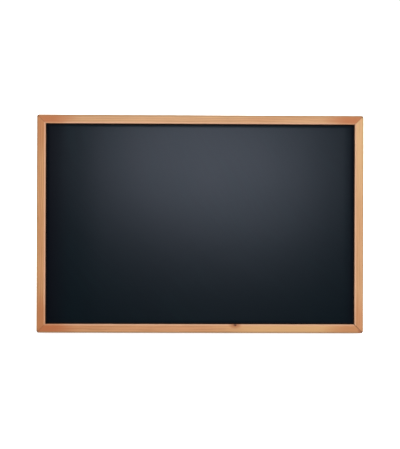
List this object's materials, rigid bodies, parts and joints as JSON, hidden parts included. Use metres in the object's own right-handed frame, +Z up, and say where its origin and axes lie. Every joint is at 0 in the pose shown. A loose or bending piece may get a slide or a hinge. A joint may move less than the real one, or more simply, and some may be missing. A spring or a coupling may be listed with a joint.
{
  "type": "menu chalkboard easel",
  "caption": "Wood-framed menu chalkboard that stands on a counter on a folding rear prop leg, or hangs on a wall",
  "frame": {"origin": "on the table, in the middle of the standing object's box", "axes": "+X to the right of a person reading the board, -Y towards that person, +Z up"},
  "size_m": [0.6, 0.184, 0.3864],
  "materials": {
    "oiled_pine": "oiled, open grain",
    "leg_pine": "planed and oiled",
    "chalk_surface": "hardboard with satin black chalkboard paint",
    "birch_ply": "raw plywood",
    "zinc_steel": "bright zinc plate",
    "brassed_steel": "brass plate",
    "black_rubber": "matt",
    "white_nylon": "moulded"
  },
  "bodies": {
    "board": {"top_rail": "oiled_pine", "bottom_rail": "oiled_pine", "left_stile": "oiled_pine", "right_stile": "oiled_pine", "chalk_panel": "chalk_surface", "backer_board": "birch_ply", "corner_v_nails": "zinc_steel", "offset_clips": "zinc_steel", "clip_screws": "zinc_steel", "left_sawtooth_hanger": "brassed_steel", "right_sawtooth_hanger": "brassed_steel", "hanger_nails": "brassed_steel", "left_wall_bumper": "black_rubber", "right_wall_bumper": "black_rubber", "pivot_bracket": "zinc_steel", "bracket_screws": "zinc_steel", "pivot_pin": "zinc_steel", "pin_push_nut": "zinc_steel", "pivot_washers": "white_nylon"},
    "leg": {"prop_leg": "leg_pine", "foot_pad": "black_rubber"}
  },
  "joints": [
    {"name": "leg_fold", "type": "hinge", "parent": "board", "child": "leg", "pos_m": [0, 0.03797, 0.34873], "axis": [-1, 0, 0], "range_deg": [0, 26]}
  ]
}
